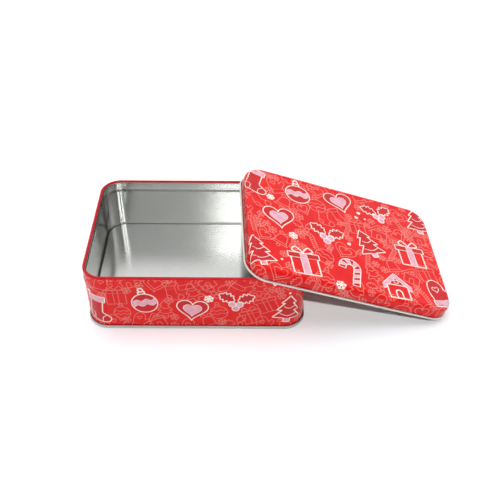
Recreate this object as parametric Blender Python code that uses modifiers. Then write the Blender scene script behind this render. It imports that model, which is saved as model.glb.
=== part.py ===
# Rectangular cookie tin in printed tinplate: a wall strip, a double-seamed base and a slip lid.
# The lid is off and leans on the right-hand end of the tin, one corner of it on the floor.
# Metres, +Z up. A section point is (distance outside the printed wall, height).

import math

import bmesh
import bpy
from mathutils import Matrix, Vector

# Tin, over the printed wall
TIN_LENGTH = 0.200
TIN_DEPTH = 0.1435
TIN_HEIGHT = 0.0635
CORNER_RADIUS = 0.019
SHEET = 0.00025

# Rim of the tin, rolled inwards
RIM_CURL_RADIUS = 0.0015
RIM_CURL_END = 290.0

# Bead that stands out below the rim and holds the lid
BEAD_DROP = 0.0112
BEAD_PROUD = 0.0006
BEAD_HALF_HEIGHT = 0.0042

# Side seam: the strip's two ends, locked and flattened on the inside of the back wall
SIDE_SEAM_FROM_RIGHT = 0.052
SIDE_SEAM_WIDTH = 0.0055
SIDE_SEAM_THICKNESS = 0.0008
SIDE_SEAM_EDGE = 0.0004
SIDE_SEAM_UNDER_RIM = 0.0050
SIDE_SEAM_OVER_BASE = 0.0020

# Double seam round the base
SEAM_HEIGHT = 0.0032
SEAM_GAP = 0.00025
FOOT_RADIUS = 0.0005
BASE_RISE = 0.0060
BASE_EDGE_RADIUS = 0.0020

# Lid
LID_CLEARANCE = 0.0008
LID_HEIGHT = 0.0138
LID_SHOULDER_RADIUS = 0.0040
LID_BORDER = 0.0046
LID_STEP_WIDTH = 0.0014
LID_STEP_DROP = 0.0005
LID_CURL_RADIUS = 0.0010
LID_CURL_SWEEP = 290.0

# How the lid leans: distance from the tin's rim to the lid's middle, along the lid
LID_REACH = 0.046
REST_GAP = 0.00025
FLOOR_GAP = 0.0002

# Facets
CORNER_STEPS = 8
CURL_STEPS = 10
FOLD_STEPS = 6
BEAD_STEPS = 8
SMOOTH_ANGLE = math.radians(40.0)


def clear_scene():
    for obj in list(bpy.data.objects):
        bpy.data.objects.remove(obj, do_unlink=True)


def linear_rgb(hex_colour):
    channels = [int(hex_colour[i:i + 2], 16) / 255.0 for i in (0, 2, 4)]
    return [c / 12.92 if c <= 0.04045 else ((c + 0.055) / 1.055) ** 2.4 for c in channels]


def make_material(name, hex_colour, metallic, roughness):
    material = bpy.data.materials.new(name)
    material.use_nodes = True
    shader = material.node_tree.nodes["Principled BSDF"]
    shader.inputs["Base Color"].default_value = (*linear_rgb(hex_colour), 1.0)
    shader.inputs["Metallic"].default_value = metallic
    shader.inputs["Roughness"].default_value = roughness
    return material


def arc(centre, radius, start, end, steps):
    """Section points on an arc, by angles in degrees from the outward direction."""
    angles = [math.radians(start + (end - start) * i / steps) for i in range(steps + 1)]
    return [(centre[0] + radius * math.cos(a), centre[1] + radius * math.sin(a)) for a in angles]


def plan_ring(offset, back_stops=()):
    """Rounded rectangle, counter-clockwise, at a distance outside the printed wall."""
    centre_x = TIN_LENGTH / 2 - CORNER_RADIUS
    centre_y = TIN_DEPTH / 2 - CORNER_RADIUS
    radius = CORNER_RADIUS + offset
    ring = []
    for turn, (side_x, side_y) in enumerate(((1, 1), (-1, 1), (-1, -1), (1, -1))):
        for step in range(CORNER_STEPS + 1):
            angle = math.radians(90.0) * (turn + step / CORNER_STEPS)
            ring.append((side_x * centre_x + radius * math.cos(angle),
                         side_y * centre_y + radius * math.sin(angle)))
        if turn == 0:
            ring.extend((x, centre_y + radius) for x in back_stops)
    return ring


def extrude_ring(bm, verts, edges, places):
    """Extrude a closed ring of edges and move the new ring's vertices to their places."""
    made = bmesh.ops.extrude_edge_only(bm, edges=edges)["geom"]
    new_verts = {item for item in made if isinstance(item, bmesh.types.BMVert)}
    ring = []
    for vert, place in zip(verts, places):
        partners = [edge.other_vert(vert) for edge in vert.link_edges]
        ring.append(next(partner for partner in partners if partner in new_verts))
        ring[-1].co = place
    return ring, [bm.edges.get((ring[i - 1], ring[i])) for i in range(len(ring))]


def sweep_section(name, section, inside, back_stops=(), closed_panel=False):
    """Carry a section round the plan as one open sheet that faces away from the inside point."""
    mesh = bpy.data.meshes.new(name)
    bm = bmesh.new()
    rings = [[(x, y, height) for x, y in plan_ring(offset, back_stops)] for offset, height in section]
    verts = [bm.verts.new(place) for place in rings[0]]
    edges = [bm.edges.new((verts[i - 1], verts[i])) for i in range(len(verts))]
    for places in rings[1:]:
        verts, edges = extrude_ring(bm, verts, edges, places)
    if closed_panel:
        first_ring = [edge for edge in bm.edges if edge.is_boundary and edge not in edges]
        bmesh.ops.contextual_create(bm, geom=first_ring)
    bmesh.ops.recalc_face_normals(bm, faces=bm.faces)
    outward = sum(f.calc_area() * f.normal.dot(f.calc_center_median() - Vector(inside)) for f in bm.faces)
    if outward < 0:
        bmesh.ops.reverse_faces(bm, faces=bm.faces)
    bm.to_mesh(mesh)
    bm.free()
    return bpy.data.objects.new(name, mesh)


def add_gauge(obj, thickness=SHEET):
    """Give a sheet its thickness, on the side away from its outer face."""
    solidify = obj.modifiers.new("gauge", "SOLIDIFY")
    solidify.thickness = thickness
    solidify.offset = -1.0
    solidify.use_even_offset = True
    return solidify


def finish(obj, material, collection, parent):
    obj.data.materials.append(material)
    obj.data.shade_smooth()
    obj.data.set_sharp_from_angle(angle=SMOOTH_ANGLE)
    collection.objects.link(obj)
    obj.parent = parent


def hook_radius():
    """Inner radius of the folds in the double seam, which hold one sheet between two gaps."""
    return SEAM_GAP + SHEET / 2


def rim_section():
    centre = (-RIM_CURL_RADIUS, TIN_HEIGHT - RIM_CURL_RADIUS)
    return arc(centre, RIM_CURL_RADIUS, RIM_CURL_END, 0.0, CURL_STEPS)


def bead_section():
    middle = TIN_HEIGHT - BEAD_DROP
    points = []
    for step in range(BEAD_STEPS + 1):
        across = 2.0 * step / BEAD_STEPS - 1.0
        proud = BEAD_PROUD * (1.0 + math.cos(math.pi * across)) / 2
        points.append((proud, middle - BEAD_HALF_HEIGHT * across))
    return points


def body_hook_section():
    """The wall's bottom edge, turned out and up."""
    radius = hook_radius()
    fold_height = 2 * SHEET + SEAM_GAP + radius
    fold = arc((radius, fold_height), radius, 180.0, 360.0, FOLD_STEPS)
    return fold + [(2 * radius, SEAM_HEIGHT - SHEET - SEAM_GAP)]


def side_seam_heights():
    return TIN_HEIGHT - SIDE_SEAM_UNDER_RIM, BASE_RISE + SIDE_SEAM_OVER_BASE


def side_seam_stops():
    """Places along the back wall, right to left, where the locked seam's band starts and ends."""
    middle = TIN_LENGTH / 2 - SIDE_SEAM_FROM_RIGHT
    half = SIDE_SEAM_WIDTH / 2
    return [middle + half + SIDE_SEAM_EDGE, middle + half, middle - half, middle - half - SIDE_SEAM_EDGE]


def make_tin_wall():
    top, bottom = side_seam_heights()
    band_top = [(0.0, top + SIDE_SEAM_EDGE), (0.0, top)]
    band_bottom = [(0.0, bottom), (0.0, bottom - SIDE_SEAM_EDGE)]
    section = rim_section() + band_top + bead_section() + band_bottom + body_hook_section()
    stops = side_seam_stops()
    wall = sweep_section("tin_wall", section, (0.0, 0.0, TIN_HEIGHT / 2), back_stops=stops)
    band = wall.vertex_groups.new(name="side_seam")
    slack = SIDE_SEAM_EDGE / 2
    for vert in wall.data.vertices:
        x, y, z = vert.co
        in_width = stops[2] - slack < x < stops[1] + slack
        in_height = bottom - slack < z < top + slack
        if y > 0 and in_width and in_height:
            band.add([vert.index], 1.0, "REPLACE")
    gauge = add_gauge(wall, SIDE_SEAM_THICKNESS)
    gauge.vertex_group = band.name
    gauge.thickness_vertex_group = SHEET / SIDE_SEAM_THICKNESS
    return wall


def make_base_panel():
    """Panel, chuck wall, foot and the edge that folds over the wall's hook, along the outer face."""
    chuck = -(2 * SHEET + SEAM_GAP)
    outside = 3 * (SHEET + SEAM_GAP)
    under = BASE_EDGE_RADIUS - SHEET
    fold = hook_radius() + SHEET
    section = arc((chuck - under, BASE_RISE - BASE_EDGE_RADIUS), under, 90.0, 0.0, FOLD_STEPS)
    section += arc((chuck + FOOT_RADIUS, FOOT_RADIUS), FOOT_RADIUS, 180.0, 270.0, FOLD_STEPS)
    section += arc((outside - FOOT_RADIUS, FOOT_RADIUS), FOOT_RADIUS, 270.0, 360.0, FOLD_STEPS)
    section += arc((outside - fold, SEAM_HEIGHT - fold), fold, 0.0, 180.0, FOLD_STEPS)
    section.append((SEAM_GAP, 2 * SHEET + 2 * SEAM_GAP))
    base = sweep_section("base_panel", section, (0.0, 0.0, TIN_HEIGHT / 2), closed_panel=True)
    add_gauge(base)
    return base


def lid_curl():
    """Centre of the lid's rolled edge, in the lid's own frame: its panel's underside is at height 0."""
    inner_radius = LID_CURL_RADIUS - SHEET
    height = SHEET + LID_STEP_DROP - LID_HEIGHT + LID_CURL_RADIUS
    return LID_CLEARANCE + SHEET + inner_radius, height


def make_lid():
    skirt = LID_CLEARANCE + SHEET
    top = SHEET + LID_STEP_DROP
    step_end = skirt - LID_BORDER
    section = []
    for step in range(FOLD_STEPS + 1):
        share = step / FOLD_STEPS
        rise = LID_STEP_DROP * (1.0 - math.cos(math.pi * share)) / 2
        section.append((step_end - LID_STEP_WIDTH * (1.0 - share), SHEET + rise))
    shoulder = (skirt - LID_SHOULDER_RADIUS, top - LID_SHOULDER_RADIUS)
    section += arc(shoulder, LID_SHOULDER_RADIUS, 90.0, 0.0, FOLD_STEPS)
    section += arc(lid_curl(), LID_CURL_RADIUS - SHEET, 180.0, 180.0 + LID_CURL_SWEEP, CURL_STEPS)
    lid = sweep_section("lid", section, (0.0, 0.0, -LID_HEIGHT), closed_panel=True)
    add_gauge(lid)
    return lid


def lid_lean(turn):
    """Tilt at which the panel lies on the tin's right rim while the lowest corner is on the floor."""
    offset, height = lid_curl()
    half_length = TIN_LENGTH / 2 - CORNER_RADIUS
    half_depth = TIN_DEPTH / 2 - CORNER_RADIUS
    corner = half_length * math.cos(turn) + half_depth * math.sin(turn) + CORNER_RADIUS + offset
    along = LID_REACH + corner
    across = RIM_CURL_RADIUS + REST_GAP + height
    drop = FLOOR_GAP + LID_CURL_RADIUS + RIM_CURL_RADIUS - TIN_HEIGHT
    return math.acos(drop / math.hypot(along, across)) - math.atan2(along, across)


def lid_hang(lean):
    """Stretch of the lid, from the rim towards its raised end, whose skirt hangs beside the walls."""
    skirt = LID_HEIGHT - LID_STEP_DROP - SHEET
    return CORNER_RADIUS * math.cos(lean), skirt / math.tan(lean)


def lid_pose():
    """The lid turns in its own plane until its skirt meets the walls at both ends of that stretch."""
    turn = 0.0
    for _ in range(6):
        lean = lid_lean(turn)
        start, end = lid_hang(lean)
        narrowing = (TIN_DEPTH / 2 + LID_CLEARANCE) * (1.0 - math.cos(turn))
        play = 2 * (LID_CLEARANCE - REST_GAP - narrowing)
        turn = math.asin(play / (end - start))
    sideways = (LID_REACH + (start + end) / 2) * math.sin(turn)
    tilt = Matrix.Rotation(lean, 3, "Y")
    rim = Vector((TIN_LENGTH / 2 - RIM_CURL_RADIUS, sideways, TIN_HEIGHT - RIM_CURL_RADIUS))
    place = rim + tilt @ Vector((LID_REACH, 0.0, RIM_CURL_RADIUS + REST_GAP))
    return Matrix.Translation(place) @ (tilt @ Matrix.Rotation(turn, 3, "Z")).to_4x4()


def centre_on_floor(root, parts):
    """Shift the whole tin so that the middle of its box on the floor is the origin."""
    bpy.context.view_layer.update()
    depsgraph = bpy.context.evaluated_depsgraph_get()
    points = []
    for part in parts:
        shape = part.evaluated_get(depsgraph)
        points.extend(part.matrix_world @ vert.co for vert in shape.data.vertices)
    low = Vector(min(p[axis] for p in points) for axis in range(3))
    high = Vector(max(p[axis] for p in points) for axis in range(3))
    root.location = -Vector(((low.x + high.x) / 2, (low.y + high.y) / 2, low.z))


def main():
    clear_scene()
    collection = bpy.data.collections.new("cookie_tin")
    bpy.context.scene.collection.children.link(collection)
    root = bpy.data.objects.new("cookie_tin_frame", None)
    collection.objects.link(root)

    tin_wall = make_tin_wall()
    finish(tin_wall, make_material("printed_wall_red", "C82D2D", 0.0, 0.28), collection, root)
    base_panel = make_base_panel()
    finish(base_panel, make_material("bare_tinplate", "C9C8C4", 1.0, 0.30), collection, root)
    lid = make_lid()
    finish(lid, make_material("printed_lid_red", "E0352F", 0.0, 0.25), collection, root)
    lid.matrix_local = lid_pose()

    centre_on_floor(root, (tin_wall, base_panel, lid))


main()
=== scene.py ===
# Looks of an open cookie tin: its tinplate sheets, the print on them, a floor, lights and a camera.
# Metres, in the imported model's frame. A section point is (distance outside the printed wall, height).

import math
import random

import bmesh
import bpy
from mathutils import Matrix, Vector


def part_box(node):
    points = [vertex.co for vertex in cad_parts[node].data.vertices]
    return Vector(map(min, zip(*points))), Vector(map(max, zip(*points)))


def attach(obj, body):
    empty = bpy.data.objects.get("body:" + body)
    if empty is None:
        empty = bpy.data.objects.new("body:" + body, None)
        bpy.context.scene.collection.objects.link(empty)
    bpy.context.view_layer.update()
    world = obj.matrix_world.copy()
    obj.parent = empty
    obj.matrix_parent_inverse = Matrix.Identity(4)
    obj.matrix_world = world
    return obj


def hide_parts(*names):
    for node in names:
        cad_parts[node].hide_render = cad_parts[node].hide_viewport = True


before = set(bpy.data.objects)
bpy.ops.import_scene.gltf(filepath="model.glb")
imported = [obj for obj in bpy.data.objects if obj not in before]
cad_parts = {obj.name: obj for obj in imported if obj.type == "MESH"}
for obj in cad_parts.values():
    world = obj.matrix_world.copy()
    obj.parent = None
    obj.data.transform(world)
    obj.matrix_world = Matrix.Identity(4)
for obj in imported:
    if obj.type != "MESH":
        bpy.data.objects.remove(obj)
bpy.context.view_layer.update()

MM = 0.001
QUARTER_TURN = math.radians(90.0)
WELD = 0.000005
PRINT_WELD = WELD / 10
SQUARE_SLACK = 0.01

# Sheet metal, as rolled and folded
SHEET = 0.00025
CORNER_RADIUS = 0.019
RIM_CURL_RADIUS = 0.0015
RIM_CURL_END = 290.0
RIM_PRINT_DROP = 0.0013
BEAD_DROP = 0.0124
BEAD_PROUD = 0.0006
BEAD_SLOPE = 0.0080
BEAD_RETURN = 0.0028
SEAM_HEIGHT = 0.0032
SEAM_GAP = 0.00025
HOOK_RADIUS = SEAM_GAP + SHEET / 2
FOOT_RADIUS = 0.0005
BASE_RISE = 0.0060
BASE_EDGE_RADIUS = 0.0020
LID_CLEARANCE = 0.0008
LID_HEIGHT = 0.0138
LID_SHOULDER_RADIUS = 0.0040
LID_BORDER = 0.0046
LID_STEP_WIDTH = 0.0014
LID_STEP_DROP = 0.0005
LID_CURL_RADIUS = 0.0010
LID_CURL_SWEEP = 290.0
LID_CURL_HEIGHT = SHEET + LID_STEP_DROP - LID_HEIGHT + LID_CURL_RADIUS
PANEL_SUPPORT = 0.002
# Height of the bands of darker red painted as shade above the base's seam and above the lid's curl
SHADE_BAND = 0.0010

# Side seam on the back wall
SIDE_SEAM_FROM_RIGHT = 0.052
SIDE_SEAM_WIDTH = 0.0055
SIDE_SEAM_PROUD = 0.00055
SIDE_SEAM_UNDER_RIM = 0.0035
SIDE_SEAM_OVER_BASE = 0.0020
SIDE_SEAM_EDGE = 0.0003
SEAM_GROOVE_HALF = 0.00030
SEAM_GROOVE_DEPTH = 0.00015

# Facets
CORNER_STEPS = 24
CURL_STEPS = 18
FOLD_STEPS = 10
BEAD_STEPS = 8
SMOOTH_ANGLE = math.radians(40.0)

# The tin's place and size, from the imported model
wall_low, wall_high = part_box("tin_wall")
HOOK_PROUD = 2 * (SEAM_GAP + SHEET)
TIN_LENGTH = wall_high.x - wall_low.x - 2 * HOOK_PROUD
TIN_DEPTH = wall_high.y - wall_low.y - 2 * HOOK_PROUD
TIN_HEIGHT = wall_high.z
TIN_CENTRE = Vector(((wall_low.x + wall_high.x) / 2, (wall_low.y + wall_high.y) / 2, 0.0))
CORNER_X = TIN_LENGTH / 2 - CORNER_RADIUS
CORNER_Y = TIN_DEPTH / 2 - CORNER_RADIUS
SEAM_X = TIN_LENGTH / 2 - SIDE_SEAM_FROM_RIGHT
HALF_RUNS = (CORNER_X, CORNER_Y, CORNER_X, CORNER_Y)
CORNER_RUN = CORNER_RADIUS * QUARTER_TURN
STRIP_MM = (4 * (CORNER_X + CORNER_Y) + 2 * math.pi * CORNER_RADIUS) / MM
STRIP = STRIP_MM * MM
TIN_MIDDLE = Vector((0, 0, TIN_HEIGHT / 2))

# Print: pens and the spacing of their points in millimetres, and the inks' heights over the sheet
PEN_STEP = 0.8
BOLD_PEN = 1.45
FINE_PEN = 0.70
LID_FINE_PEN = 0.86
PINK_LIFT = 0.00003
DEEP_LIFT = 0.00005
PALE_LIFT = 0.00007
CREAM_LIFT = 0.00009
PRINT_END_GAP = 3 * SHEET
PRINT_UNDER_RIM = 1.2 * RIM_CURL_RADIUS
LID_CREASE_PITCH = 0.0005
LID_CREASE_START = -0.45 * CORNER_RADIUS

# Layout of the print, in millimetres and radians
PRINT_SEED = 24
WALL_MOTIFS = 15
WALL_ROWS = (-8.0, 5.0)
LID_PITCH = 46.0
LID_ROW_PITCH = 53.0
WALL_MARGIN = 5.0
LID_MARGIN = 4.0
SCATTER_LEAN = 0.6
SCATTER_SIZES = (0.9, 1.1)

# Inks: name, main colour, colour of its faint clouds and their width in millimetres
RED_INK = ("red_litho_varnish", "E31015", "EA1A18", 14.0)
# The darker red is painted shade, on the rim's curl and in the bands above the seam and the lid's curl
SHADED_RED_INK = ("red_varnish_painted_shade", "C8161F", "BA121B", 7.0)
PRINT_INKS = {
    "cream": ("cream_litho_ink", "FDF1E4", "F8E6DA", 9.0),
    "pink": ("pink_litho_ink", "EC7C72", "E8786E", 9.0),
    "pale": ("pale_pink_litho_ink", "EDB4C2", "E6A4B4", 5.0),
    "deep": ("deep_red_litho_ink", "CE181F", "C82026", 9.0),
}

# Darker and lighter tones of the tinplate
ROLLED_TONES = ("CDCFCD", "D8D9D6")
SEAMED_TONES = ("B8B6B2", "D2D0CB")
CURLED_TONES = ("DEDBD4", "F0EDE6")

# Order of the finishes on a printed sheet, and on the base. On a printed sheet the third is the darker red
# of painted shade
PRINTED, BARE, SHADED, CURLED = range(4)
PANEL, SEAMED = range(2)

# Camera and floor
CAMERA_FROM_TIN = Vector((0.04998, -0.53506, 0.51819))
CAMERA_PITCH_DOWN = math.radians(42.213)
CAMERA_ROLL = math.radians(0.333)
CAMERA_LENS = 53.405
FLOOR_HALF = 6.0
FLOOR_WHITE = 1.0
FLOOR_BOUNCE = 0.74

# Lamps: angles in degrees; a share of 1 would light a level white surface to full white
SUNS = {
    "key_lamp": {"tint": "FFFFFF", "share": 0.46, "elevation": 53.0, "azimuth": 0.0, "spread": 2.0},
    "overhead_softbox": {"tint": "F3F7FF", "share": 0.68, "elevation": 73.0, "azimuth": 205.0,
                         "spread": 65.0},
}
SOFTBOX_FROM_TIN = Vector((0.145, -1.25, 1.094))
SOFTBOX_WIDTH = 0.44
SOFTBOX_HEIGHT = 0.45
SOFTBOX_BRIGHTNESS = 5.0

# Room: its light, and its levels in a mirror by the direction looked in, from -1 to 1 on each axis
ROOM_SHARE = 0.09
ROOM_FRONT = 0.69
ROOM_BACK = 1.16
ROOM_FRONT_END = -0.78
ROOM_BACK_START = -0.56
ROOM_ACROSS = ((-0.16, 0.74), (-0.05, 1.0), (0.08, 1.0), (0.17, 0.24), (0.34, 0.20), (0.50, 0.24))
ROOM_ACROSS_END = -0.45


def linear_rgb(hex_colour):
    channels = [int(hex_colour[i:i + 2], 16) / 255.0 for i in (0, 2, 4)]
    linear = [c / 12.92 if c <= 0.04045 else ((c + 0.055) / 1.055) ** 2.4 for c in channels]
    return (*linear, 1.0)


def scale_for(size_mm):
    """Scale of a noise texture on Object coordinates whose features are this wide."""
    return 1000.0 / size_mm


def add_node(tree, kind, inputs=None, **settings):
    """Adds a node with its settings, and sets or links its inputs. A node links by its first output."""
    node = tree.nodes.new(kind)
    for name, value in settings.items():
        setattr(node, name, value)
    for socket, value in (inputs or {}).items():
        if isinstance(value, bpy.types.Node):
            value = value.outputs[0]
        if isinstance(value, bpy.types.NodeSocket):
            tree.links.new(value, node.inputs[socket])
        else:
            node.inputs[socket].default_value = value
    return node


def add_object(name, data):
    obj = bpy.data.objects.new(name, data)
    bpy.context.scene.collection.objects.link(obj)
    return obj


def new_material(name):
    material = bpy.data.materials.new(name)
    material.use_nodes = True
    tree = material.node_tree
    tree.nodes.clear()
    return material, tree


# Finishes. A Mix node's sockets share names, so they are numbered: 0 is its factor, 2 and 3 take numbers, 6
# and 7 take colours, and the colour comes out of 2.

def varnished_ink(name, main_hex, other_hex, patch_mm):
    """Litho ink under a roller-coated gloss varnish: an even colour with faint clouds of a second
    shade, a soft sheen and the slight orange peel of the varnish, drawn coarse enough to show."""
    material, tree = new_material(name)
    place = add_node(tree, "ShaderNodeTexCoord").outputs["Object"]
    clouds = add_node(tree, "ShaderNodeTexNoise",
                      {"Vector": place, "Scale": scale_for(patch_mm), "Detail": 2.0, "Roughness": 0.45})
    tone = add_node(tree, "ShaderNodeMapRange", {"Value": clouds, "From Min": 0.42, "From Max": 0.60})
    colour = add_node(tree, "ShaderNodeMix", {0: tone, 6: linear_rgb(main_hex), 7: linear_rgb(other_hex)},
                      data_type="RGBA")
    rub = add_node(tree, "ShaderNodeTexNoise", {"Vector": place, "Scale": scale_for(6.0), "Detail": 4.0})
    roughness = add_node(tree, "ShaderNodeMapRange", {"Value": rub, "To Min": 0.16, "To Max": 0.28})
    peel = add_node(tree, "ShaderNodeTexNoise", {"Vector": place, "Scale": scale_for(1.6), "Detail": 1.0})
    relief = add_node(tree, "ShaderNodeBump", {"Height": peel, "Strength": 0.12, "Distance": 0.00004})
    shader = add_node(tree, "ShaderNodeBsdfPrincipled",
                      {"Base Color": colour.outputs[2], "Roughness": roughness, "Normal": relief,
                       "Specular IOR Level": 0.22})
    add_node(tree, "ShaderNodeOutputMaterial", {"Surface": shader})
    return material


def rolled_tinplate():
    """Bright tin on cold-rolled steel: a cool grey mirror blurred along fine rolling lines, with faint
    clouds where the tin flowed, and upright ripples where the corners were bent. The rolling lines are
    drawn coarser than the real ones, so that they show."""
    material, tree = new_material("rolled_tinplate")
    place = add_node(tree, "ShaderNodeTexCoord").outputs["Object"]
    line_length, line_width = scale_for(60.0), scale_for(0.9)
    lines = add_node(tree, "ShaderNodeMapping",
                     {"Vector": place, "Scale": (line_length, line_width, line_width)})
    grain = add_node(tree, "ShaderNodeTexNoise", {"Vector": lines, "Scale": 1.0, "Detail": 3.0})
    clouds = add_node(tree, "ShaderNodeTexNoise",
                      {"Vector": place, "Scale": scale_for(25.0), "Detail": 3.0})
    roughness = add_node(tree, "ShaderNodeMapRange", {"Value": grain, "To Min": 0.15, "To Max": 0.22})
    dark, light = (linear_rgb(tone) for tone in ROLLED_TONES)
    colour = add_node(tree, "ShaderNodeMix", {0: clouds, 6: dark, 7: light}, data_type="RGBA")
    relief = add_node(tree, "ShaderNodeBump", {"Height": grain, "Strength": 0.10, "Distance": 0.00003})
    facing = add_node(tree, "ShaderNodeSeparateXYZ",
                      {"Vector": add_node(tree, "ShaderNodeNewGeometry").outputs["Normal"]})
    diagonal = add_node(tree, "ShaderNodeMath", {0: facing.outputs["X"], 1: facing.outputs["Y"]},
                        operation="MULTIPLY")
    in_corner = add_node(tree, "ShaderNodeMath", {0: diagonal}, operation="ABSOLUTE")
    bend = add_node(tree, "ShaderNodeMapRange", {"Value": in_corner, "From Max": 0.15})
    ripple_width, ripple_height = scale_for(2.6), scale_for(90.0)
    ripples = add_node(tree, "ShaderNodeMapping",
                       {"Vector": place, "Scale": (ripple_width, ripple_width, ripple_height)})
    forming = add_node(tree, "ShaderNodeTexNoise", {"Vector": ripples, "Scale": 1.0, "Detail": 1.0})
    relief = add_node(tree, "ShaderNodeBump",
                      {"Height": forming, "Strength": bend, "Distance": 0.00045, "Normal": relief})
    level = add_node(tree, "ShaderNodeMath", {0: facing.outputs["Z"]}, operation="ABSOLUTE")
    upright = add_node(tree, "ShaderNodeMath", {0: 1.0, 1: level}, operation="SUBTRACT")
    across = add_node(tree, "ShaderNodeCombineXYZ", {"Y": level, "Z": upright})
    shader = add_node(tree, "ShaderNodeBsdfPrincipled",
                      {"Base Color": colour.outputs[2], "Metallic": 1.0, "Anisotropic": 0.95,
                       "Roughness": roughness, "Normal": relief, "Tangent": across})
    add_node(tree, "ShaderNodeOutputMaterial", {"Surface": shader})
    return material


def pressed_tinplate(name, dark_hex, light_hex):
    """Tinplate that the seaming or curling rollers have pressed: the same metal, scuffed dull."""
    material, tree = new_material(name)
    place = add_node(tree, "ShaderNodeTexCoord").outputs["Object"]
    scuffs = add_node(tree, "ShaderNodeTexNoise",
                      {"Vector": place, "Scale": scale_for(2.5), "Detail": 4.0})
    dark, light = linear_rgb(dark_hex), linear_rgb(light_hex)
    colour = add_node(tree, "ShaderNodeMix", {0: scuffs, 6: dark, 7: light}, data_type="RGBA")
    roughness = add_node(tree, "ShaderNodeMapRange", {"Value": scuffs, "To Min": 0.48, "To Max": 0.66})
    shader = add_node(tree, "ShaderNodeBsdfPrincipled",
                      {"Base Color": colour.outputs[2], "Metallic": 1.0, "Roughness": roughness})
    add_node(tree, "ShaderNodeOutputMaterial", {"Surface": shader})
    return material


# Sheets, formed from a section

def arc(centre, radius, start, end, steps):
    """Section points on an arc, by angles in degrees from the outward direction."""
    angles = [math.radians(start + (end - start) * i / steps) for i in range(steps + 1)]
    return [(centre[0] + radius * math.cos(a), centre[1] + radius * math.sin(a)) for a in angles]


def bead_offset(height):
    """How far the bead stands out at a height on the wall: a slope that steepens down to its crest, then a
    short return."""
    below_crest = TIN_HEIGHT - BEAD_DROP - height
    if below_crest > 0:
        return BEAD_PROUD * (1.0 + math.cos(math.pi * min(1.0, below_crest / BEAD_RETURN))) / 2
    return BEAD_PROUD * (1.0 - min(1.0, -below_crest / BEAD_SLOPE)) ** 2


def bead_section():
    """The wall's outer face along the bead, downwards."""
    crest = TIN_HEIGHT - BEAD_DROP
    heights = [crest + BEAD_SLOPE * (1.0 - i / BEAD_STEPS) for i in range(BEAD_STEPS)]
    heights += [crest - BEAD_RETURN * i / BEAD_STEPS for i in range(BEAD_STEPS + 1)]
    return [(bead_offset(height), height) for height in heights]


def wall_section():
    """The wall's outer face, from the edge rolled in at the rim to the hook."""
    curl_centre = (-RIM_CURL_RADIUS, TIN_HEIGHT - RIM_CURL_RADIUS)
    rim = arc(curl_centre, RIM_CURL_RADIUS, RIM_CURL_END, 0.0, CURL_STEPS)
    fold_height = 2 * SHEET + SEAM_GAP + HOOK_RADIUS
    fold = arc((HOOK_RADIUS, fold_height), HOOK_RADIUS, 180.0, 360.0, FOLD_STEPS)
    # The top of the band painted in shade above the seam
    shade_band_edge = [(0.0, SEAM_HEIGHT + SHADE_BAND)]
    return rim + bead_section() + shade_band_edge + fold + [(2 * HOOK_RADIUS, SEAM_HEIGHT - SHEET - SEAM_GAP)]


def base_section():
    """Panel edge, chuck wall, foot and the edge that folds over the wall's hook, along the outer face."""
    chuck = -(2 * SHEET + SEAM_GAP)
    outside = 3 * (SHEET + SEAM_GAP)
    under = BASE_EDGE_RADIUS - SHEET
    fold = HOOK_RADIUS + SHEET
    section = arc((chuck - under, BASE_RISE - BASE_EDGE_RADIUS), under, 90.0, 0.0, FOLD_STEPS)
    section.insert(0, (section[0][0] - PANEL_SUPPORT, section[0][1]))
    section += arc((chuck + FOOT_RADIUS, FOOT_RADIUS), FOOT_RADIUS, 180.0, 270.0, FOLD_STEPS)
    section += arc((outside - FOOT_RADIUS, FOOT_RADIUS), FOOT_RADIUS, 270.0, 360.0, FOLD_STEPS)
    section += arc((outside - fold, SEAM_HEIGHT - fold), fold, 0.0, 180.0, FOLD_STEPS)
    return section + [(SEAM_GAP, 2 * SHEET + 2 * SEAM_GAP)]


def lid_printed_section():
    """The lid's outer face from the panel's edge to the start of the curl, in the lid's own frame."""
    skirt = LID_CLEARANCE + SHEET
    top = SHEET + LID_STEP_DROP
    step_end = skirt - LID_BORDER
    section = []
    for i in range(FOLD_STEPS + 1):
        share = i / FOLD_STEPS
        rise = LID_STEP_DROP * (1.0 - math.cos(math.pi * share)) / 2
        section.append((step_end - LID_STEP_WIDTH * (1.0 - share), SHEET + rise))
    shoulder = (skirt - LID_SHOULDER_RADIUS, top - LID_SHOULDER_RADIUS)
    section += arc(shoulder, LID_SHOULDER_RADIUS, 90.0, 0.0, FOLD_STEPS)
    # The point above the curl marks the top of the band painted in shade
    return section + [(skirt, LID_CURL_HEIGHT + LID_CURL_RADIUS + SHADE_BAND), (skirt, LID_CURL_HEIGHT)]


def lid_section():
    """The lid's outer face, from the panel to the end of the curl."""
    section = lid_printed_section()
    section.insert(0, (section[0][0] - PANEL_SUPPORT, section[0][1]))
    centre = (LID_CLEARANCE + LID_CURL_RADIUS, LID_CURL_HEIGHT)
    curl = arc(centre, LID_CURL_RADIUS - SHEET, 180.0, 180.0 + LID_CURL_SWEEP, CURL_STEPS)
    return section + curl[1:]


def outside_plan(x, y):
    """Distance outside the printed wall's outline in plan, and the direction it is measured in."""
    side_x, side_y = math.copysign(1.0, x), math.copysign(1.0, y)
    past_x, past_y = abs(x) - CORNER_X, abs(y) - CORNER_Y
    if past_x > 0 and past_y > 0:
        reach = math.hypot(past_x, past_y)
        return reach - CORNER_RADIUS, Vector((side_x * past_x / reach, side_y * past_y / reach))
    if past_x > past_y:
        return past_x - CORNER_RADIUS, Vector((side_x, 0.0))
    return past_y - CORNER_RADIUS, Vector((0.0, side_y))


def select_only(obj):
    bpy.ops.object.select_all(action="DESELECT")
    obj.select_set(True)
    bpy.context.view_layer.objects.active = obj


def edit(obj):
    select_only(obj)
    bpy.ops.object.mode_set(mode="EDIT")
    bpy.ops.mesh.select_all(action="SELECT")


def leave_edit():
    bpy.ops.object.mode_set(mode="OBJECT")


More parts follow.
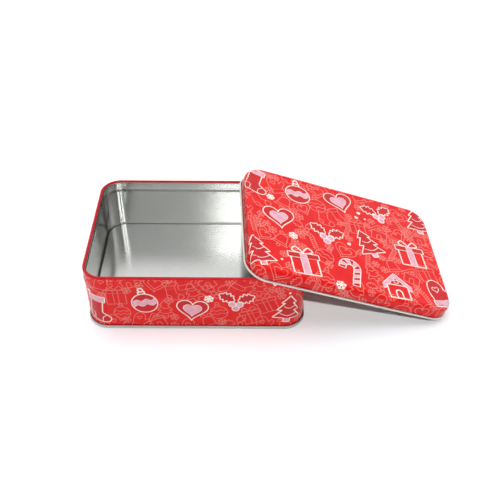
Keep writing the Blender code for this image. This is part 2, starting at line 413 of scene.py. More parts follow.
def select_points(test):
    """Selects only the points, of the mesh in edit mode, whose places pass a test."""
    bpy.ops.mesh.select_all(action="DESELECT")
    mesh = bpy.context.object.data
    bm = bmesh.from_edit_mesh(mesh)
    for vert in bm.verts:
        vert.select_set(test(vert.co))
    bm.select_flush_mode()
    bmesh.update_edit_mesh(mesh)


def draw_chain(name, points):
    """A chain of edges, drawn by extruding a vertex from point to point. It stays in edit mode."""
    bpy.ops.object.select_all(action="DESELECT")
    bpy.ops.mesh.primitive_plane_add(size=SHEET)
    chain = bpy.context.object
    chain.name = name
    chain.data.name = name
    edit(chain)
    bpy.ops.mesh.merge(type="CENTER")
    bpy.ops.transform.translate(value=points[0])
    for here, there in zip(points, points[1:]):
        bpy.ops.mesh.extrude_vertices_move(TRANSFORM_OT_translate={"value": there - here})
    bpy.ops.mesh.select_all(action="SELECT")
    return chain


def carry_round(back_stops=()):
    """Carries the selected chain round the tin's plan: along each side, then through each corner."""
    back = [CORNER_X, *back_stops, -CORNER_X]
    sides = (
        [(0.0, 2 * CORNER_Y)],
        [(there - here, 0.0) for here, there in zip(back, back[1:])],
        [(0.0, -2 * CORNER_Y)],
        [(2 * CORNER_X, 0.0)],
    )
    corners = ((1, 1), (-1, 1), (-1, -1), (1, -1))
    for runs, (side_x, side_y) in zip(sides, corners):
        for run in runs:
            bpy.ops.mesh.extrude_edges_move(TRANSFORM_OT_translate={"value": (*run, 0.0)})
        centre = (side_x * CORNER_X, side_y * CORNER_Y, 0.0)
        bpy.ops.mesh.spin(steps=CORNER_STEPS, angle=-QUARTER_TURN, center=centre, axis=(0, 0, 1))
    bpy.ops.mesh.select_all(action="SELECT")
    bpy.ops.mesh.remove_doubles(threshold=WELD)


def face_away_from(obj, inside):
    """Turns the open sheet's faces away from a point inside the tin."""
    bpy.ops.mesh.select_all(action="SELECT")
    bpy.ops.mesh.normals_make_consistent(inside=False)
    bm = bmesh.from_edit_mesh(obj.data)
    outward = sum(f.calc_area() * f.normal.dot(f.calc_center_median() - inside) for f in bm.faces)
    if outward < 0:
        bpy.ops.mesh.flip_normals()


def close_panel(obj, height):
    """Fills the open edge that lies at a height with one flat face."""
    bpy.ops.mesh.select_all(action="DESELECT")
    bm = bmesh.from_edit_mesh(obj.data)
    for edge in bm.edges:
        level = all(abs(vert.co.z - height) < WELD for vert in edge.verts)
        edge.select_set(edge.is_boundary and level)
    bmesh.update_edit_mesh(obj.data)
    bpy.ops.mesh.edge_face_add()


def apply_modifier(obj, kind, **settings):
    modifier = obj.modifiers.new(kind.lower(), kind)
    for name, value in settings.items():
        setattr(modifier, name, value)
    bpy.context.view_layer.objects.active = obj
    bpy.ops.object.modifier_apply(modifier=modifier.name)


def set_down(obj, matrix, body):
    """Applies the piece's place to its mesh, smooths it so that its flats stay flat mirrors, and lets it
    ride on its body."""
    select_only(obj)
    obj.matrix_world = matrix
    bpy.ops.object.transform_apply(location=True, rotation=True, scale=True)
    bpy.ops.object.shade_smooth_by_angle(angle=SMOOTH_ANGLE)
    apply_modifier(obj, "WEIGHTED_NORMAL", keep_sharp=True)
    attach(obj, body)


def formed_sheet(name, section, inside, finishes, inner, back_stops=(), panel=False, groove=None):
    """A sheet carried round the plan on its outer face, then given its gauge inwards. It has the first of
    its finishes outside, and the one numbered inner inside."""
    points = [Vector((TIN_LENGTH / 2 + offset, -CORNER_Y, height)) for offset, height in section]
    sheet = draw_chain(name, points)
    carry_round(back_stops)
    if panel:
        close_panel(sheet, section[0][1])
    face_away_from(sheet, inside)
    if groove:
        groove()
    leave_edit()
    for finish in finishes:
        sheet.data.materials.append(finish)
    apply_modifier(sheet, "SOLIDIFY", thickness=SHEET, offset=-1.0, use_even_offset=True,
                   material_offset=inner, material_offset_rim=inner)
    return sheet


def press_seam_groove():
    """Presses in the line on the back wall where the strip's two ends are locked together."""
    def in_groove(place):
        on_seam = abs(place.x - SEAM_X) < WELD and place.y > 0
        return on_seam and SEAM_HEIGHT < place.z < TIN_HEIGHT - 2 * RIM_CURL_RADIUS

    select_points(in_groove)
    bpy.ops.transform.translate(value=(0.0, -SEAM_GROOVE_DEPTH, 0.0))


def lid_frame():
    """The leaning lid's own frame: panel up, long side along X, origin in the panel's underside."""
    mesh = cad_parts["lid"].data
    panel_face = max(mesh.polygons, key=lambda face: face.area)
    up = panel_face.normal.copy()
    if up.z < 0:
        up.negate()
    skirt_faces = [face for face in mesh.polygons if abs(face.normal.dot(up)) < SQUARE_SLACK]
    across = max(skirt_faces, key=lambda face: face.area).normal.copy()
    if across.y < 0:
        across.negate()
    turn = Matrix((across.cross(up), across, up))
    points = [turn @ vert.co for vert in mesh.vertices]

    def middle(axis):
        return (min(p[axis] for p in points) + max(p[axis] for p in points)) / 2

    underside = max(p.z for p in points) - LID_STEP_DROP - SHEET
    turn.transpose()
    return Matrix.Translation(turn @ Vector((middle(0), middle(1), underside))) @ turn.to_4x4()


def make_tin_wall(finishes):
    """The printed strip: a deeper red painted as shade on the rim and above the seam, and bare along its
    edge inside the rim.
    """
    stops = [SEAM_X + SEAM_GROOVE_HALF, SEAM_X, SEAM_X - SEAM_GROOVE_HALF]
    wall = formed_sheet("wall_sheet", wall_section(), TIN_MIDDLE, finishes, BARE,
                        back_stops=stops, groove=press_seam_groove)
    for face in wall.data.polygons:
        outward, height = outside_plan(*face.center.xy)[0], face.center.z
        upright = SEAM_HEIGHT + SHADE_BAND < height < TIN_HEIGHT - RIM_CURL_RADIUS and outward > -SHEET
        if outward < -RIM_CURL_RADIUS and height < TIN_HEIGHT - RIM_PRINT_DROP:
            face.material_index = CURLED
        # The rim's curl and the band above the seam take the darker red of painted shade
        elif face.material_index == PRINTED and not upright:
            face.material_index = SHADED
    set_down(wall, Matrix.Translation(TIN_CENTRE), "tin")
    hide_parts("tin_wall")


def make_base(tinplate, seamed):
    """The bare panel, duller where the rollers pressed its edge into the double seam."""
    base = formed_sheet("base_sheet", base_section(), TIN_MIDDLE, (tinplate, seamed), PANEL, panel=True)
    for face in base.data.polygons:
        if outside_plan(*face.center.xy)[0] > 0:
            face.material_index = SEAMED
    set_down(base, Matrix.Translation(TIN_CENTRE), "tin")
    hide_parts("base_panel")


def make_lid(finishes, place):
    """The drawn lid: printed outside, a deeper red painted as shade above its curl, and bare on the curl
    and inside.
    """
    below_lid = Vector((0, 0, -LID_HEIGHT))
    lid = formed_sheet("lid_sheet", lid_section(), below_lid, finishes, BARE, panel=True)
    skirt = LID_CLEARANCE + SHEET
    shade_band_top = LID_CURL_HEIGHT + LID_CURL_RADIUS + SHADE_BAND
    for face in lid.data.polygons:
        outward, height = outside_plan(*face.center.xy)[0], face.center.z
        if height < LID_CURL_HEIGHT or outward > skirt + WELD:
            face.material_index = CURLED
        # The band above the curl takes the darker red of painted shade
        elif face.material_index == PRINTED and height < shade_band_top:
            face.material_index = SHADED
    set_down(lid, place, "lid")
    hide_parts("lid")


def make_side_seam(tinplate):
    """The locked seam's flat band on the inside of the back wall, following the bead."""
    top = TIN_HEIGHT - SIDE_SEAM_UNDER_RIM
    bottom = BASE_RISE + SIDE_SEAM_OVER_BASE
    inner = TIN_DEPTH / 2 - SHEET
    left = SEAM_X - SIDE_SEAM_WIDTH / 2
    section = [(0.0, top), *bead_section(), (0.0, bottom)]
    points = [Vector((left, inner + offset, height)) for offset, height in section]
    band = draw_chain("side_seam_fold", points)
    bpy.ops.mesh.extrude_edges_move(TRANSFORM_OT_translate={"value": (SIDE_SEAM_WIDTH, 0.0, 0.0)})
    face_away_from(band, Vector((SEAM_X, 2 * TIN_DEPTH, TIN_HEIGHT / 2)))
    leave_edit()
    band.data.materials.append(tinplate)
    apply_modifier(band, "SOLIDIFY", thickness=SIDE_SEAM_PROUD, offset=1.0, use_even_offset=True)
    apply_modifier(band, "BEVEL", width=SIDE_SEAM_EDGE, segments=3, limit_method="ANGLE")
    set_down(band, Matrix.Translation(TIN_CENTRE), "tin")


# Motifs of the print, in millimetres: pen lines, and outlines filled with deep red or pale pink

def straight(points, closed=False):
    """Points at an even spacing along straight strokes."""
    ends = points[1:] + points[:1] if closed else points[1:]
    path = []
    for (x0, y0), (x1, y1) in zip(points, ends):
        steps = max(1, math.ceil(math.hypot(x1 - x0, y1 - y0) / PEN_STEP))
        path += [(x0 + (x1 - x0) * i / steps, y0 + (y1 - y0) * i / steps) for i in range(steps)]
    return path if closed else path + [points[-1]]


def rounded(points, closed=False):
    """A round curve through a few points, with points at an even spacing."""
    count = len(points)
    path = []
    for i in range(count if closed else count - 1):
        if closed:
            before, here, there, after = (points[(i + k) % count] for k in (-1, 0, 1, 2))
        else:
            before, here = points[max(i - 1, 0)], points[i]
            there, after = points[i + 1], points[min(i + 2, count - 1)]
        steps = max(1, math.ceil(math.dist(here, there) / PEN_STEP))
        for k in range(steps):
            t = k / steps
            path.append(tuple(
                h + 0.5 * t * (n - b + t * (2 * b - 5 * h + 4 * n - a + t * (3 * (h - n) + a - b)))
                for b, h, n, a in zip(before, here, there, after)))
    return path if closed else path + [points[-1]]


def ring(x, y, radius, start=0.0, sweep=360.0):
    """A circle, or an arc of it by angles in degrees."""
    steps = max(8, math.ceil(math.radians(abs(sweep)) * radius / PEN_STEP))
    count = steps if abs(sweep) == 360.0 else steps + 1
    angles = [math.radians(start + sweep * i / steps) for i in range(count)]
    return [(x + radius * math.cos(a), y + radius * math.sin(a)) for a in angles]


def block(left, bottom, right, top):
    return straight([(left, bottom), (right, bottom), (right, top), (left, top)], closed=True)


def flipped(points):
    return [(-x, y) for x, y in points]


def motif(loops=(), strokes=(), deep=(), pale=()):
    """Closed and open pen lines, and the outlines that are filled with each shade."""
    lines = [(points, True) for points in loops] + [(points, False) for points in strokes]
    return {"lines": lines, "deep": list(deep), "pale": list(pale)}


def bow(height, reach):
    tip, end = (-0.6 * reach, height + 0.75 * reach), (-reach, height + 0.25 * reach)
    loop = rounded([(0, height), tip, end], True)
    return [loop, flipped(loop)]


def fir_tree():
    right = [(0, 16), (6.5, 7.5), (3.4, 7.5), (9.6, -1.5), (5.0, -1.5), (12.5, -11), (2.6, -11),
             (2.6, -15.5)]
    outline = straight(right + flipped(right[:0:-1]), True)
    upper_garland = rounded([(-4.0, 3.2), (0.5, 1.2), (5.8, 3.4)])
    lower_garland = rounded([(-7.0, -5.6), (0.5, -8.0), (8.6, -5.2)])
    trunk = block(-2.6, -15.5, 2.6, -11)
    return motif([outline], [upper_garland, lower_garland], [outline], [trunk])


def bauble():
    radius, middle = 11.0, -3.0
    swing, ripple, inset = 1.1, 0.75, 0.2
    ball = ring(0, middle, radius)

    def wave(level):
        half = math.sqrt(radius ** 2 - (level - middle) ** 2) - inset
        steps = math.ceil(2 * half / PEN_STEP)
        places = [half * (2.0 * i / steps - 1.0) for i in range(steps + 1)]
        return [(x, level + swing * math.sin(x * ripple)) for x in places]

    upper, lower = wave(0.6), wave(-5.4)
    top = middle + radius
    cap = block(-2.8, top, 2.8, top + 3)
    hanger = ring(0, top + 5.2, 2.2)
    return motif([ball, cap, hanger], [upper, lower], [ball], [upper + lower[::-1]])


def bell():
    right = [(2.4, 10.5), (6.2, 7.6), (7.8, 0.5), (9.0, -5.5), (12.2, -9.5)]
    flare = rounded(right)
    outline = flare + straight([right[-1], (-right[-1][0], right[-1][1])])[1:-1] + flipped(flare)[::-1]
    rim = [(9.0, -5.5), (12.2, -9.5), (-12.2, -9.5), (-9.0, -5.5)]
    return motif([outline, ring(0, -12.6, 2.5), *bow(10.5, 7.5)], [straight([rim[0], rim[3]])],
                 [outline], [straight(rim, True)])


def mitten():
    hand = rounded([(-7.2, -7), (-8, 3), (-5, 12.5), (1.5, 15), (7, 10.5), (7.6, 2.5), (11.5, 5.5),
                    (14, 1.5), (8.2, -4.5), (6.8, -7)])
    outline = hand + straight([hand[-1], hand[0]])[1:-1]
    cuff = block(-8.6, -13.5, 8.2, -7)
    heart = [(-0.4 + x, 4.5 + y) for x, y in heart_outline(3.4)]
    return motif([outline, cuff, heart], (), [outline], [cuff])


def gift():
    box = block(-11.5, -14, 11.5, 3.5)
    top = block(-13.5, 3.5, 13.5, 8.8)
    ribbon = block(-2.8, -14, 2.8, 8.8)
    sides = [straight([(x, -14), (x, 8.8)]) for x in (-2.8, 2.8)]
    return motif([box, top, *bow(8.8, 9.0)], sides, [box, top], [ribbon])


def candy_cane():
    """A hooked stick, drawn by the distance along its middle line and the distance to its left."""
    foot, shank, hook, tail, half = -14.0, 19.0, 6.5, 2.5, 2.8
    first_stripe, stripes, stripe, slant = 2.2, 6, 3.2, 2.4
    turn = math.pi * hook
    length = shank + turn + tail

    def at(distance, left):
        if distance < shank:
            return (hook - left, distance + foot)
        if distance < shank + turn:
            angle = (distance - shank) / hook
            return ((hook - left) * math.cos(angle), shank + foot + (hook - left) * math.sin(angle))
        return (left - hook, shank + foot - (distance - shank - turn))

    def run(start, end, left):
        steps = max(1, math.ceil(abs(end - start) / PEN_STEP))
        return [at(start + (end - start) * i / steps, left) for i in range(steps + 1)]

    outline = run(0.0, length, half) + run(length, 0.0, -half)
    starts = [first_stripe + 2 * stripe * i for i in range(stripes)]
    bands = [run(s, s + stripe, half) + run(s + stripe + slant, s + slant, -half) for s in starts]
    edges = [[at(s, half), at(s + slant, -half)] for start in starts for s in (start, start + stripe)]
    return motif([outline], [straight(edge) for edge in edges], [outline], bands)


def stocking():
    outline = rounded([(-5.5, 9.5), (-5.6, -1), (-6.4, -8), (-3.0, -13.0), (4.5, -14.6), (11.5, -14.0),
                       (13.6, -9.6), (10.2, -6.2), (6.0, -3.2), (5.6, 2.5), (5.6, 9.5)])
    outline += straight([outline[-1], outline[0]])[1:-1]
    cuff = block(-7.4, 9.5, 7.4, 15.5)
    toe = rounded([(6.6, -14.4), (6.4, -9.6), (9.4, -6.2)])
    heel = rounded([(-6.2, -5.0), (-1.6, -7.4), (-1.4, -13.4)])
    return motif([outline, cuff], [toe, heel], [outline], [cuff])


def heart_outline(half_width):
    """The well-known heart curve, 32 units wide, scaled and centred on its height."""
    unit, lift, around = half_width / 16.0, 2.5, 6.2 * half_width
    steps = max(14, math.ceil(around / PEN_STEP))
    outline = []
    for i in range(steps):
        t = 2 * math.pi * i / steps
        y = 13 * math.cos(t) - 5 * math.cos(2 * t) - 2 * math.cos(3 * t) - math.cos(4 * t)
        outline.append((16 * unit * math.sin(t) ** 3, unit * (y + lift)))
    return outline


def heart_biscuit():
    outline = heart_outline(13.5)
    icing = heart_outline(8.0)
    return motif([outline, icing], (), [outline], [icing])


def holly():
    length, half_width, edge, stalk, drop = 15.0, 4.6, 22.0, 2.0, 2
    bluntness, scallop = 0.7, 0.28
    steps = math.ceil(edge / PEN_STEP)
    leaves = []
    for lean in (28.0, 152.0):
        upper, lower = [], []
        for i in range(steps + 1):
            share = i / steps
            waves = 1.0 + scallop * math.cos(8 * math.pi * share)
            half = half_width * math.sin(math.pi * share) ** bluntness * waves
            upper.append((stalk + length * share, half))
            lower.append((stalk + length * share, -half))
        turn = math.radians(lean)
        cos, sin = math.cos(turn), math.sin(turn)
        leaves.append([(x * cos - y * sin, x * sin + y * cos - drop) for x, y in upper + lower[-2:0:-1]])
    berries = [ring(-3.2, -5.5, 2.8), ring(3.2, -5.5, 2.8), ring(0, -10.4, 2.8)]
    return motif(leaves + berries, (), leaves, berries)


def cottage():
    floor, eave, door_half, door_spring = -14, 13.5, 2.8, -7.4
    snow_depth, swing, ripple, steps = 4.2, 1.3, 0.7, 48
    walls = block(-9.5, floor, 9.5, 1.0)
    roof = straight([(-eave, 0.0), (0, eave), (eave, 0.0)])
    gable = straight([(-9.5, 1.0), (9.5, 1.0), (0, 11.0)], True)
    door = straight([(-door_half, floor), (-door_half, door_spring)])
    door += ring(0, door_spring, door_half, 180.0, -180.0)
    door += straight([(door_half, door_spring), (door_half, floor)])
    places = [eave * (2 * i / steps - 1) for i in range(steps + 1)]
    scallops = [(x, eave - abs(x) - snow_depth - swing * abs(math.sin(x * ripple))) for x in places]
    cover = [(x, eave - abs(x)) for x in places] + scallops[::-1]
    window = block(-1.8, 2.8, 1.8, 6.0)
    return motif([walls, window], [roof, scallops, door], [walls, gable], [cover])


def snowflake():
    arm, twig, fork_share = 4.6, 1.9, 0.55
    arms = []
    for i in range(6):
        angle = math.radians(60.0 * i + 15.0)
        tip = (arm * math.cos(angle), arm * math.sin(angle))
        fork = (fork_share * tip[0], fork_share * tip[1])
        arms.append(straight([(0, 0), tip]))
        for side in (-1, 1):
            turned = angle + side * math.radians(50.0)
            end = (fork[0] + twig * math.cos(turned), fork[1] + twig * math.sin(turned))
            arms.append(straight([fork, end]))
    return motif((), arms)


def snow_dot():
    return motif([ring(0, 0, 0.55)])


def small_heart():
    return motif([heart_outline(1.5), heart_outline(0.6)])


LARGE_MOTIFS = [fir_tree(), bauble(), mitten(), gift(), heart_biscuit(), bell(), candy_cane(), holly(),
                stocking(), cottage()]
SMALL_MOTIFS = [snowflake(), snow_dot(), small_heart(), snow_dot()]


# Laying out and printing

class FlatPrint:
    """The flat print of one sheet, in millimetres, by ink."""

    def __init__(self, seed, tries):
        self.draw = random.Random(seed)
        self.tries = tries
        self.lines = {"cream": [], "pink": []}
        self.fills = {"deep": [], "pale": []}
        self.taken = []

    def nudged(self, value, reach):
        return value + self.draw.uniform(-reach, reach)

    def stamp(self, kind, place, turn, size, ink, reach, filled=False):
        cos, sin = size * math.cos(turn), size * math.sin(turn)

        def put(points):
            return [(place[0] + cos * x - sin * y, place[1] + sin * x + cos * y) for x, y in points]

        self.lines[ink] += [(put(points), closed) for points, closed in kind["lines"]]
        if filled:
            for shade in self.fills:
                self.fills[shade] += [put(points) for points in kind[shade]]
        self.taken.append((*place, reach))

    def has_room(self, place, reach, closeness):
        return all(math.dist(place, (x, y)) > closeness * (reach + other) for x, y, other in self.taken)

    def scatter(self, kinds, area, size, ink, reach, closeness):
        """Tries places at random over an area, and stamps a motif where there is room."""
        for _ in range(self.tries):
            place = tuple(self.nudged(0.0, half) for half in area)
            kind = self.draw.choice(kinds)
            turn = self.nudged(0.0, SCATTER_LEAN)
            if self.has_room(place, reach, closeness):
                self.stamp(kind, place, turn, size * self.draw.uniform(*SCATTER_SIZES), ink, reach)


def lay_out_wall():
    """A row of large motifs up and down along the strip, with finer ones scattered between them."""
    flat = FlatPrint(PRINT_SEED, tries=1500)
    pitch = STRIP_MM / WALL_MOTIFS
    for i in range(WALL_MOTIFS):
        x = flat.nudged(pitch * (i + 0.5 - WALL_MOTIFS / 2), 3.0)
        y = flat.nudged(WALL_ROWS[i % 2], 1.5)
        kind = LARGE_MOTIFS[i * 3 % len(LARGE_MOTIFS)]
        turn = flat.nudged(0.0, 0.3)
        flat.stamp(kind, (x, y), turn, size=1.05, ink="cream", reach=17.0, filled=True)
    whole = (STRIP_MM / 2, TIN_HEIGHT / MM / 2)
    inset = (whole[0], whole[1] - WALL_MARGIN)
    flat.scatter(LARGE_MOTIFS, whole, size=0.72, ink="pink", reach=10.0, closeness=0.78)
    flat.scatter(SMALL_MOTIFS, inset, size=1.0, ink="cream", reach=4.0, closeness=0.95)
    flat.scatter(SMALL_MOTIFS[:1], whole, size=1.0, ink="pink", reach=3.6, closeness=0.85)
    return flat


def lay_out_lid(margin):
    """Rows of large motifs on the panel, with finer ones scattered to the edges of the printed sheet."""
    flat = FlatPrint(PRINT_SEED + 1, tries=2500)
    for row in (-1, 0, 1):
        columns = 5 if row else 4
        for column in range(columns):
            x = flat.nudged(LID_PITCH * (column - (columns - 1) / 2), 4.0)
            y = flat.nudged(LID_ROW_PITCH * row, 4.0)
            kind = LARGE_MOTIFS[(column * 3 + row * 4 + 4) % len(LARGE_MOTIFS)]
            turn = flat.nudged(0.0, 0.4)
            flat.stamp(kind, (x, y), turn, size=1.15, ink="cream", reach=18.0, filled=True)
    whole = ((TIN_LENGTH / 2 + margin) / MM, (TIN_DEPTH / 2 + margin) / MM)
    inset = tuple(half - LID_MARGIN for half in whole)
    flat.scatter(LARGE_MOTIFS, whole, size=0.78, ink="pink", reach=10.5, closeness=0.78)
    flat.scatter(SMALL_MOTIFS, inset, size=1.05, ink="cream", reach=4.2, closeness=0.95)
    flat.scatter(SMALL_MOTIFS[:1], whole, size=1.05, ink="pink", reach=3.8, closeness=0.85)
    return flat


def wall_place(along):
    """A point on the line that joins the corners' centres, and the way from it out to the wall, at a
    distance along the printed strip from its middle."""
    rest = (along + 0.5 * STRIP + CORNER_X - SEAM_X) % STRIP
    heading = math.pi
    corner = Vector((CORNER_X, CORNER_Y))
    for half_run in HALF_RUNS:
        ahead = Vector((math.cos(heading), math.sin(heading)))
        outward = Vector((ahead.y, -ahead.x))
        if rest < 2 * half_run:
            return corner + ahead * rest, outward
        corner = corner + ahead * 2 * half_run
        rest -= 2 * half_run
        if rest < CORNER_RUN:
            angle = heading - QUARTER_TURN + rest / CORNER_RADIUS
            return corner, Vector((math.cos(angle), math.sin(angle)))
        rest -= CORNER_RUN
        heading += QUARTER_TURN
    return corner, outward


def on_wall(x, y):
    """Where a point of the wall's flat print lies on the tin, and which way it faces."""
    height = y + TIN_HEIGHT / 2
    core, outward = wall_place(x)
    slope = (bead_offset(height + WELD) - bead_offset(height - WELD)) / (2 * WELD)
    flat = core + outward * (CORNER_RADIUS + bead_offset(height))
    facing = Vector((*outward, -slope)).normalized()
    return Vector((*flat, height)) + TIN_CENTRE, facing


class LidSurface:
    """Folds the lid's flat print over its step, shoulder and skirt."""

    def __init__(self, place):
        self.place = place
        self.section = lid_printed_section()
        self.edge = self.section[0][0]
        self.lengths = [0.0]
        for here, there in zip(self.section, self.section[1:]):
            self.lengths.append(self.lengths[-1] + math.dist(here, there))
        self.margin = self.edge + self.lengths[-1]

    def __call__(self, x, y):
        distance, outward = outside_plan(x, y)
        if distance <= self.edge:
            local, facing = Vector((x, y, SHEET)), Vector((0, 0, 1))
        else:
            along = min(distance - self.edge, self.lengths[-1])
            step = next(i for i, end in enumerate(self.lengths[1:]) if along <= end)
            (x0, z0), (x1, z1) = self.section[step:step + 2]
            share = (along - self.lengths[step]) / (self.lengths[step + 1] - self.lengths[step])
            offset = x0 + (x1 - x0) * share
            plan = Vector((x, y)) + outward * (offset - distance)
            local = Vector((*plan, z0 + (z1 - z0) * share))
            tangent = Vector((x1 - x0, z1 - z0)).normalized()
            facing = Vector((*(outward * -tangent.y), tangent.x))
        return self.place @ local, self.place.to_3x3() @ facing

    def trim(self):
        """Takes off what lies past the end of the printed sheet, and closes what that opens."""
        select_points(lambda place: outside_plan(place.x, place.y)[0] > self.margin)
        bpy.ops.mesh.delete(type="VERT")
        bpy.ops.mesh.select_all(action="SELECT")
        bpy.ops.mesh.fill_holes(sides=0)

    def crease(self):
        """Cuts filled areas along the lid's edges, so that they can follow the step and the shoulder."""
        for i in range(math.ceil((self.margin - LID_CREASE_START) / LID_CREASE_PITCH)):
            offset = LID_CREASE_START + LID_CREASE_PITCH * i
            for side in (-1, 1):
                cut((side * (TIN_LENGTH / 2 + offset), 0.0), (1, 0))
                cut((0.0, side * (TIN_DEPTH / 2 + offset)), (0, 1))


def add_outlines(curve, outlines):
    """Draws outlines on a curve, each given by its points and whether it is closed."""
    for points, closed in outlines:
        spline = curve.splines.new("POLY")
        spline.points.add(len(points) - 1)
        for point, (x, y) in zip(spline.points, points):
            point.co = (x * MM, y * MM, 0.0, 1.0)
        spline.use_cyclic_u = closed


def pen_lines(name, strokes, width):
    """Flat print lines as tubes in the plane of the sheet, and how far they stand out of it."""
    curve = bpy.data.curves.new(name, "CURVE")
    curve.dimensions = "3D"
    curve.twist_mode = "Z_UP"
    curve.bevel_depth = width * MM / 2
    curve.bevel_resolution = 0
    curve.use_fill_caps = True
    add_outlines(curve, strokes)
    thickness = curve.bevel_depth
    return as_mesh(name, curve), thickness


def filled_outlines(name, outlines):
    """Flat print areas as thin slabs in the plane of the sheet, and how far they stand out of it."""
    curve = bpy.data.curves.new(name, "CURVE")
    curve.dimensions = "2D"
    curve.fill_mode = "BOTH"
    curve.extrude = SHEET
    add_outlines(curve, [(points, True) for points in outlines])
    thickness = curve.extrude
    return as_mesh(name, curve), thickness


def as_mesh(name, curve):
    """The curve's shape as a mesh, which stays in edit mode."""
    select_only(add_object(name, curve))
    bpy.ops.object.convert(target="MESH")
    ink = bpy.context.object
    ink.name = name
    ink.data.name = name
    edit(ink)
    bpy.ops.mesh.remove_doubles(threshold=PRINT_WELD)
    return ink


def cut(place, normal, trim=False):
    """Cuts all of the flat print along a line, and trims off what lies past it."""
    bpy.ops.mesh.select_all(action="SELECT")
    bpy.ops.mesh.bisect(plane_co=(*place, 0.0), plane_no=(*normal, 0.0), clear_outer=trim, use_fill=trim)


def trim_wall_print():
    """Trims the wall's print to the strip, and cuts it along the bead so that it can follow."""
    half = STRIP / 2 - PRINT_END_GAP
    low = SEAM_HEIGHT + SHEET - TIN_HEIGHT / 2
    high = TIN_HEIGHT / 2 - PRINT_UNDER_RIM
    edges = (((half, 0), (1, 0)), ((-half, 0), (-1, 0)), ((0, high), (0, 1)), ((0, low), (0, -1)))
    for place, normal in edges:
        cut(place, normal, trim=True)
    for _, height in bead_section():
        cut((0.0, height - TIN_HEIGHT / 2), (0, 1))


def crease_corner_fills():
    """Cuts the wall's filled areas where the tin's corners bend, so that they can follow."""
    start = -0.5 * STRIP - (CORNER_X - SEAM_X)
    for half_run in HALF_RUNS:
        start += 2 * half_run
        for i in range(CORNER_STEPS + 1):
            cut((start + CORNER_RUN * i / CORNER_STEPS, 0.0), (1, 0))
        start += CORNER_RUN


def press_on(ink, thickness, lift, surface, material, body):
    """Lays the flat print on the formed sheet."""
    leave_edit()
    for vert in ink.data.vertices:
        place, facing = surface(vert.co.x, vert.co.y)
        vert.co = place + facing * (lift * vert.co.z / thickness)
    edit(ink)
    bpy.ops.mesh.normals_make_consistent(inside=False)
    leave_edit()
    ink.data.materials.append(material)
    set_down(ink, Matrix.Identity(4), body)


def print_sheet(part, body, flat, fine_pen, surface, inks, line_fits, fill_fits):
    """Prints one sheet ink by ink: drawn flat, fitted to the sheet's outline and bends, and pressed on."""
    for ink, pen, lift in (("pink", fine_pen, PINK_LIFT), ("cream", BOLD_PEN, CREAM_LIFT)):
        piece, thickness = pen_lines(f"{part}_{ink}_lines", flat.lines[ink], pen)
        for fit in line_fits:
            fit()
        press_on(piece, thickness, lift, surface, inks[ink], body)
    for ink, lift in (("deep", DEEP_LIFT), ("pale", PALE_LIFT)):
        piece, thickness = filled_outlines(f"{part}_{ink}_fills", flat.fills[ink])
        for fit in fill_fits:
            fit()
        press_on(piece, thickness, lift, surface, inks[ink], body)


def print_wall(inks):
    print_sheet("wall", "tin", lay_out_wall(), FINE_PEN, on_wall, inks,
                [trim_wall_print], [trim_wall_print, crease_corner_fills])


def print_lid(inks, place):
    surface = LidSurface(place)
    print_sheet("lid", "lid", lay_out_lid(surface.margin), LID_FINE_PEN, surface, inks,
                [surface.trim], [surface.crease, surface.trim])


# Studio

def add_camera():
    """A camera where the photograph's stood, worked out from the tin's edges in it."""
    data = bpy.data.cameras.new("camera")
    data.lens = CAMERA_LENS
    camera = add_object("camera", data)
    aim = Matrix.Rotation(QUARTER_TURN - CAMERA_PITCH_DOWN, 4, "X") @ Matrix.Rotation(CAMERA_ROLL, 4, "Z")
    camera.matrix_world = Matrix.Translation(TIN_CENTRE + CAMERA_FROM_TIN) @ aim
    bpy.context.scene.camera = camera


def add_sun(name, tint, share, elevation, azimuth, spread):
    """A distant lamp, which metal doesn't mirror."""
    data = bpy.data.lights.new(name, "SUN")
    data.energy = share * math.pi / math.sin(math.radians(elevation))
    data.angle = math.radians(spread)
    data.color = linear_rgb(tint)[:3]
    sun = add_object(name, data)
    sun.rotation_euler = (QUARTER_TURN - math.radians(elevation), 0.0, math.radians(azimuth))
    sun.visible_glossy = False


def add_softbox():
    """A bright panel above the camera, which the metal inside the tin mirrors."""
    data = bpy.data.lights.new("front_softbox", "AREA")
    data.shape = "RECTANGLE"
    data.size = SOFTBOX_WIDTH
    data.size_y = SOFTBOX_HEIGHT
    data.energy = SOFTBOX_BRIGHTNESS * math.pi * SOFTBOX_WIDTH * SOFTBOX_HEIGHT
    lamp = add_object("front_softbox", data)
    lamp.location = TIN_CENTRE + SOFTBOX_FROM_TIN
    lamp.rotation_euler = SOFTBOX_FROM_TIN.to_track_quat("Z", "Y").to_euler()
    lamp.visible_camera = False
    lamp.visible_diffuse = False


def seen_or_mirrored(tree):
    """1 for what the camera sees, straight or through metal or glass, and 0 for light between surfaces."""
    path = add_node(tree, "ShaderNodeLightPath")
    mirrored = add_node(tree, "ShaderNodeMath",
                        {0: path.outputs["Is Glossy Ray"], 1: path.outputs["Is Transmission Ray"]},
                        operation="MAXIMUM")
    return add_node(tree, "ShaderNodeMath", {0: path.outputs["Is Camera Ray"], 1: mirrored},
                    operation="MAXIMUM")


def room_across(tree, sideways):
    """How bright the mirrored room in front is, from left to right."""
    place = add_node(tree, "ShaderNodeMapRange", {"Value": sideways, "From Min": -1.0, "From Max": 1.0})
    levels = add_node(tree, "ShaderNodeValToRGB", {"Fac": place})
    stops = levels.color_ramp.elements
    while len(stops) < len(ROOM_ACROSS):
        stops.new(1.0)
    for stop, (x, level) in zip(stops, ROOM_ACROSS):
        stop.position = (x + 1.0) / 2
        stop.color = (level, level, level, 1.0)
    return levels


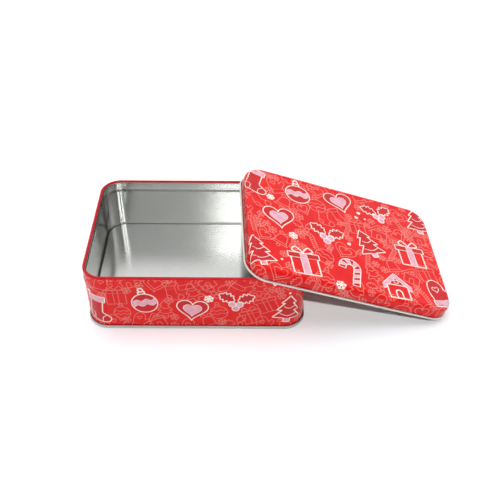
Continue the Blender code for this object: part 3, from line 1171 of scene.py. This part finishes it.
def light_room():
    """A white room for the camera, that lights things softly. Metal mirrors it as darker in front, with a
    bright middle and a shaded place to the right of the camera."""
    world = bpy.data.worlds.new("white_room")
    bpy.context.scene.world = world
    world.use_nodes = True
    tree = world.node_tree
    tree.nodes.clear()
    path = add_node(tree, "ShaderNodeLightPath")
    towards = add_node(tree, "ShaderNodeSeparateXYZ",
                       {"Vector": add_node(tree, "ShaderNodeTexCoord").outputs["Generated"]})
    depth = add_node(tree, "ShaderNodeMapRange",
                     {"Value": towards.outputs["Y"], "From Min": ROOM_FRONT_END,
                      "From Max": ROOM_BACK_START, "To Min": ROOM_FRONT, "To Max": ROOM_BACK},
                     interpolation_type="SMOOTHSTEP")
    across = add_node(tree, "ShaderNodeMapRange",
                      {"Value": towards.outputs["Y"], "From Min": ROOM_ACROSS_END, "From Max": 0.0,
                       "To Min": room_across(tree, towards.outputs["X"]), "To Max": 1.0})
    mirrored = add_node(tree, "ShaderNodeMath", {0: depth, 1: across}, operation="MULTIPLY")
    before_spread = add_node(tree, "ShaderNodeMath", {0: path.outputs["Diffuse Depth"], 1: 0.5},
                             operation="LESS_THAN")
    in_mirror = add_node(tree, "ShaderNodeMath", {0: path.outputs["Is Glossy Ray"], 1: before_spread},
                         operation="MULTIPLY")
    strength = add_node(tree, "ShaderNodeMix", {0: in_mirror, 2: ROOM_SHARE, 3: mirrored})
    plain = add_node(tree, "ShaderNodeMath",
                     {0: path.outputs["Is Camera Ray"], 1: path.outputs["Is Transmission Ray"]},
                     operation="MAXIMUM")
    strength = add_node(tree, "ShaderNodeMix", {0: plain, 2: strength, 3: 1.0})
    background = add_node(tree, "ShaderNodeBackground", {"Color": (1, 1, 1, 1), "Strength": strength})
    add_node(tree, "ShaderNodeOutputWorld", {"Surface": background})


def lay_floor():
    """A sweep of matt white paper, which shows white to the camera and in metal, and keeps the shadow."""
    bpy.ops.object.select_all(action="DESELECT")
    bpy.ops.mesh.primitive_plane_add(size=2 * FLOOR_HALF)
    floor = bpy.context.object
    floor.name = "studio_floor"
    material, tree = new_material("white_paper_sweep")
    shade = add_node(tree, "ShaderNodeMapRange",
                     {"Value": seen_or_mirrored(tree), "To Min": FLOOR_BOUNCE, "To Max": FLOOR_WHITE})
    shader = add_node(tree, "ShaderNodeBsdfDiffuse", {"Color": shade})
    add_node(tree, "ShaderNodeOutputMaterial", {"Surface": shader})
    floor.data.materials.append(material)


def main():
    bpy.context.scene.view_settings.view_transform = "Standard"
    print_red = varnished_ink(*RED_INK)
    inks = {ink: varnished_ink(*shades) for ink, shades in PRINT_INKS.items()}
    # The darker red of painted shade
    shaded_red = varnished_ink(*SHADED_RED_INK)
    tinplate = rolled_tinplate()
    seamed = pressed_tinplate("seamed_tinplate", *SEAMED_TONES)
    curled = pressed_tinplate("curled_tinplate", *CURLED_TONES)
    finishes = (print_red, tinplate, shaded_red, curled)
    lid_place = lid_frame()
    make_tin_wall(finishes)
    make_side_seam(tinplate)
    make_base(tinplate, seamed)
    make_lid(finishes, lid_place)
    print_wall(inks)
    print_lid(inks, lid_place)
    lay_floor()
    light_room()
    for name, settings in SUNS.items():
        add_sun(name, **settings)
    add_softbox()
    add_camera()


main()
